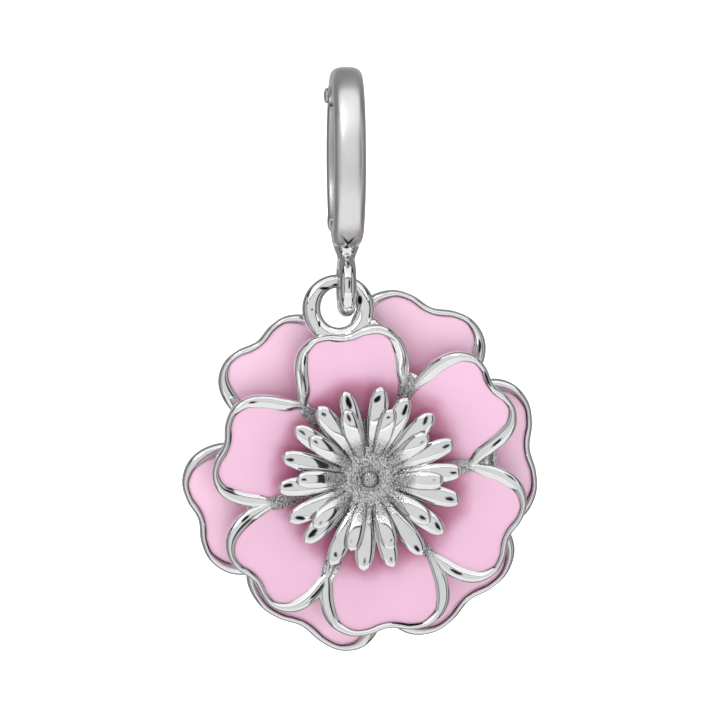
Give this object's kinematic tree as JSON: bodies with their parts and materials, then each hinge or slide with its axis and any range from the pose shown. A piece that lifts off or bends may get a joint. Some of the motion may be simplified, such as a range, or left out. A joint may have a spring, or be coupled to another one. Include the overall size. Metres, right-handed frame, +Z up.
{
  "type": "flower charm",
  "caption": "Pink enamelled flower charm: two layers of petals and a stamen crown on a loop, hung from a hinged clip-on bail.",
  "frame": {"origin": "highest point of the inside of the bail, where the charm sits on a chain", "axes": "+Z up, -Y towards the viewer of the flower's face, +X to that viewer's right"},
  "size_m": [0.0212, 0.0084, 0.0349],
  "materials": {
    "polished_metal": "polished",
    "front_enamel": "gloss",
    "back_enamel": "gloss"
  },
  "bodies": {
    "bail": {"bail_front": "polished_metal", "hinge_pin": "polished_metal"},
    "gate": {"bail_gate": "polished_metal"},
    "flower": {"hanging_loop": "polished_metal", "upper_petals": "polished_metal", "lower_petals": "polished_metal", "centre_rivet": "polished_metal", "stamen_crown": "polished_metal", "upper_enamel_1": "front_enamel", "upper_enamel_2": "front_enamel", "upper_enamel_3": "front_enamel", "upper_enamel_4": "front_enamel", "upper_enamel_5": "front_enamel", "upper_enamel_6": "front_enamel", "lower_enamel_1": "back_enamel", "lower_enamel_2": "back_enamel", "lower_enamel_3": "back_enamel", "lower_enamel_4": "back_enamel", "lower_enamel_5": "back_enamel", "lower_enamel_6": "back_enamel"}
  },
  "joints": [
    {"name": "gate_hinge", "type": "hinge", "parent": "bail", "child": "gate", "pos_m": [0, 0.00251, -0.0008], "axis": [1, 0, 0], "range_deg": [0, 75]},
    {"name": "flower_swing", "type": "hinge", "parent": "bail", "child": "flower", "pos_m": [0, 0, -0.012], "axis": [1, 0, 0], "range_deg": [-110, 110]}
  ]
}
